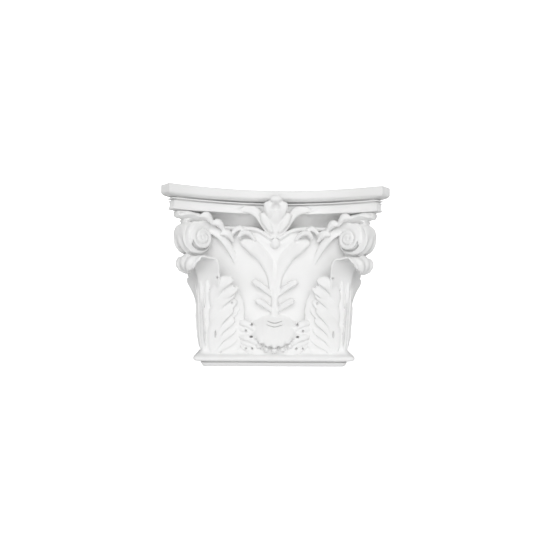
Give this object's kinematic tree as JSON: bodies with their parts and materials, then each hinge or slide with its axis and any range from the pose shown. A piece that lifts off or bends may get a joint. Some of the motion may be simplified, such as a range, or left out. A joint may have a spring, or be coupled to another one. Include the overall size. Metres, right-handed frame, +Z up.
{
  "type": "corinthian pilaster capital",
  "caption": "White moulded corinthian pilaster capital, flat at the back, with a concave abacus, corner volutes, acanthus leaves and a central flower",
  "frame": {"origin": "bottom centre of the part's box: z = 0 is the underside of the neck, x = 0 the middle of the front, y = 0 half the depth", "axes": "+X to the right along the width, +Y back towards the wall, +Z up; the carved front faces -Y"},
  "size_m": [0.412, 0.116, 0.3355],
  "materials": {
    "moulding": "matte white primer"
  },
  "bodies": {
    "root": {"capital": "moulding"}
  },
  "joints": []
}
